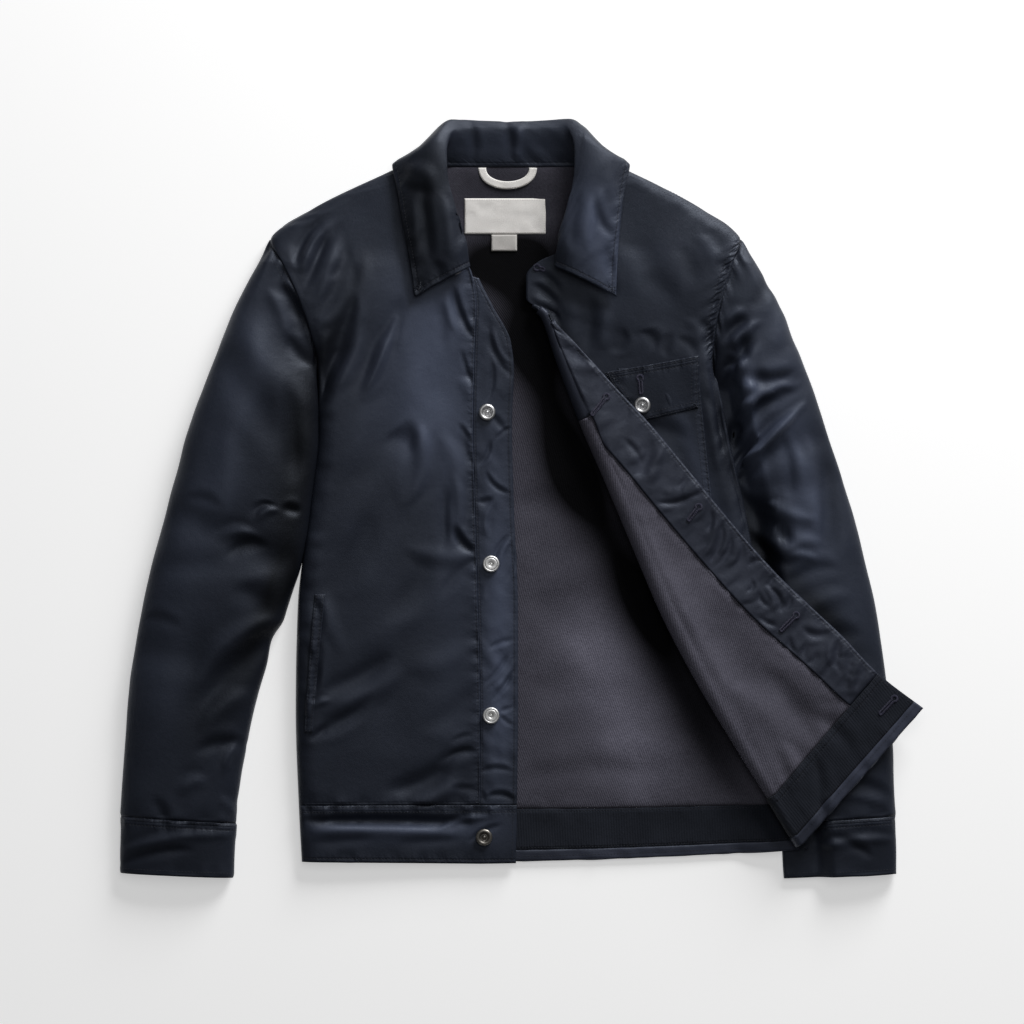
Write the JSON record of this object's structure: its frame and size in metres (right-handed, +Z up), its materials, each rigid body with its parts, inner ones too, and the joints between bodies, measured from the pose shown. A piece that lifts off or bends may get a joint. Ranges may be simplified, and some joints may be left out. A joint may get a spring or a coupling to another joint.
{
  "type": "waxed cotton jacket",
  "caption": "Waist-length lined jacket laid flat on its back, with a soft collar, metal buttons and the left front turned back over its sleeve.",
  "frame": {"origin": "on the surface the jacket lies on, under the middle of its width and length", "axes": "+Z up from the surface, +Y towards the collar, +X towards the wearer's left sleeve"},
  "size_m": [0.803, 0.7611, 0.0346],
  "materials": {
    "waxed_cotton": "waxed cotton, dark navy, with a low sheen",
    "lining": "matt herringbone twill, grey",
    "corduroy": "fine-wale corduroy, dark navy",
    "tape": "matt woven tape, cream",
    "metal": "nickel plate, lightly worn"
  },
  "bodies": {
    "root": {"back": "waxed_cotton", "back_hem_facing": "corduroy", "back_hem_turn_in": "waxed_cotton", "back_lining": "lining", "back_waistband": "waxed_cotton", "button_1": "metal", "button_2": "metal", "button_3": "metal", "button_4": "metal", "button_5": "metal", "chest_pocket": "waxed_cotton", "chest_pocket_flap": "waxed_cotton", "collar": "waxed_cotton", "hanger_loop": "tape", "label": "tape", "left_cuff_top": "waxed_cotton", "left_cuff_under": "waxed_cotton", "left_facing": "waxed_cotton", "left_front": "waxed_cotton", "left_hem_facing": "corduroy", "left_hem_turn_in": "waxed_cotton", "left_lining": "lining", "left_top_sleeve": "waxed_cotton", "left_under_sleeve": "waxed_cotton", "left_waistband": "waxed_cotton", "pocket_button": "metal", "right_cuff_top": "waxed_cotton", "right_cuff_under": "waxed_cotton", "right_front": "waxed_cotton", "right_placket": "waxed_cotton", "right_top_sleeve": "waxed_cotton", "right_under_sleeve": "waxed_cotton", "right_waistband": "waxed_cotton", "right_welt_pocket": "waxed_cotton", "size_tab": "tape"}
  },
  "joints": []
}
